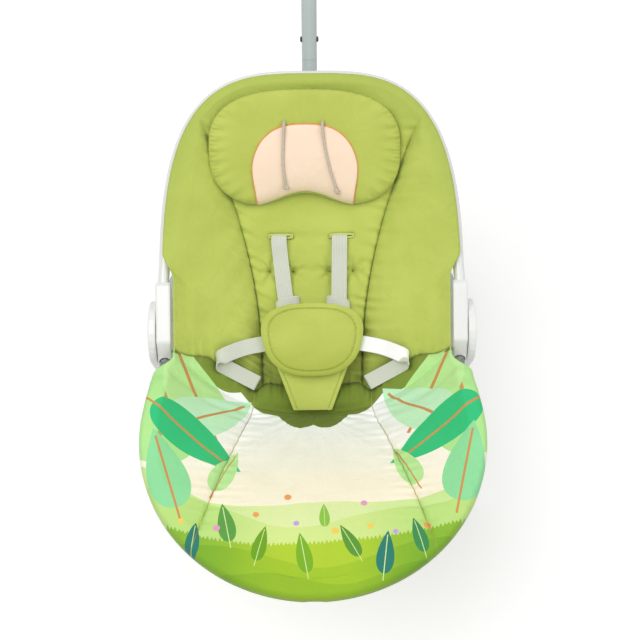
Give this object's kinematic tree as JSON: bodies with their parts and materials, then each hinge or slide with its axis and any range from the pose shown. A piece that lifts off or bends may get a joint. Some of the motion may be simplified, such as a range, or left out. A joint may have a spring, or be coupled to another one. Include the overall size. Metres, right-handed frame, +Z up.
{
  "type": "electric baby swing",
  "caption": "Electric baby swing: reclining padded seat with harness and head pillow between two side arms, on a swinging arm from a rear motor housing and a floor ring.",
  "frame": {"origin": "centre of the bounding box on the floor", "axes": "+Z up, +Y towards the head end and the motor housing, +X across, to the right in the picture"},
  "size_m": [0.481, 0.7583, 0.946],
  "materials": {
    "white_plastic": "satin",
    "grey_plastic": "satin",
    "rubber": "matt",
    "steel": "turned",
    "painted_tube": "satin",
    "white_paint": "gloss",
    "green_cloth": "smooth padded cloth",
    "printed_cloth": "printed padded cloth",
    "peach_cloth": "soft padded cloth",
    "webbing": "ribbed webbing",
    "board": "satin",
    "copper": "wound wire",
    "red_button": "gloss",
    "snap_dark": "satin"
  },
  "bodies": {
    "base": {"base_shell_lower": "white_plastic", "base_shell_upper": "white_plastic", "floor_tube_front": "painted_tube", "floor_tube_left": "painted_tube", "floor_tube_right": "painted_tube", "corner_foot_left": "white_plastic", "corner_foot_right": "white_plastic", "foot_pad_front_left": "rubber", "foot_pad_front_right": "rubber", "foot_pad_rear_left": "rubber", "foot_pad_rear_right": "rubber", "control_panel": "grey_plastic", "circuit_board": "board", "coil_bracket": "grey_plastic", "drive_coil": "copper", "bearing_upper": "steel", "bearing_lower": "steel", "dc_inlet": "grey_plastic", "speaker": "grey_plastic"},
    "key_power": {"button_power": "white_plastic"},
    "key_speed": {"button_speed": "white_plastic"},
    "key_music": {"button_music": "white_plastic"},
    "key_timer": {"button_timer": "white_plastic"},
    "swing_arm": {"swing_shaft": "steel", "magnet_arm": "grey_plastic", "drive_arm": "painted_tube", "arm_clamp": "white_plastic", "yoke_tube": "painted_tube", "side_arm_left": "white_plastic", "side_arm_right": "white_plastic"},
    "recline_key_left": {"recline_button_left": "grey_plastic"},
    "recline_key_right": {"recline_button_right": "grey_plastic"},
    "seat": {"hub_left": "white_plastic", "hub_right": "white_plastic", "pivot_pin_left": "steel", "pivot_pin_right": "steel", "rim_tube_back": "white_paint", "seat_tube_front": "steel", "seat_pad_back": "green_cloth", "seat_pad_leg": "printed_cloth", "head_pillow": "green_cloth", "pillow_insert": "peach_cloth", "shoulder_strap_left": "webbing", "shoulder_strap_right": "webbing", "waist_strap_left": "webbing", "waist_strap_right": "webbing", "crotch_flap": "green_cloth", "crotch_strap": "green_cloth", "buckle_body": "grey_plastic", "pole_socket": "white_plastic", "pole_lower": "painted_tube", "pole_sleeve": "steel", "pole_upper": "painted_tube", "pole_tip": "grey_plastic"},
    "buckle_key": {"buckle_button": "red_button"},
    "snap_left": {"snap_button_left": "snap_dark"},
    "snap_right": {"snap_button_right": "snap_dark"}
  },
  "joints": [
    {"name": "swing", "type": "hinge", "parent": "base", "child": "swing_arm", "pos_m": [0, 0.274, 0.235], "axis": [0, -0.5736, 0.8192], "range_deg": [-12, 12]},
    {"name": "recline", "type": "hinge", "parent": "swing_arm", "child": "seat", "pos_m": [0, -0.02093, 0.37522], "axis": [1, 0, 0], "range_deg": [0, 20]},
    {"name": "recline_press_left", "type": "slide", "parent": "swing_arm", "child": "recline_key_left", "axis": [1, 0, 0], "range_m": [0, 0.003], "stiffness_N_per_m": 300},
    {"name": "recline_press_right", "type": "slide", "parent": "swing_arm", "child": "recline_key_right", "axis": [-1, 0, 0], "range_m": [0, 0.003], "stiffness_N_per_m": 300},
    {"name": "press_power", "type": "slide", "parent": "base", "child": "key_power", "axis": [0, -0.9366, -0.3503], "range_m": [0, 0.0015], "stiffness_N_per_m": 300},
    {"name": "press_speed", "type": "slide", "parent": "base", "child": "key_speed", "axis": [0, -0.9366, -0.3503], "range_m": [0, 0.0015], "stiffness_N_per_m": 300},
    {"name": "press_music", "type": "slide", "parent": "base", "child": "key_music", "axis": [0, -0.9366, -0.3503], "range_m": [0, 0.0015], "stiffness_N_per_m": 300},
    {"name": "press_timer", "type": "slide", "parent": "base", "child": "key_timer", "axis": [0, -0.9366, -0.3503], "range_m": [0, 0.0015], "stiffness_N_per_m": 300},
    {"name": "buckle_press", "type": "slide", "parent": "seat", "child": "buckle_key", "axis": [0, 0.5, -0.866], "range_m": [0, 0.003], "stiffness_N_per_m": 300},
    {"name": "snap_press_left", "type": "slide", "parent": "seat", "child": "snap_left", "axis": [1, 0, 0], "range_m": [0, 0.0022], "stiffness_N_per_m": 300},
    {"name": "snap_press_right", "type": "slide", "parent": "seat", "child": "snap_right", "axis": [-1, 0, 0], "range_m": [0, 0.0022], "stiffness_N_per_m": 300}
  ]
}
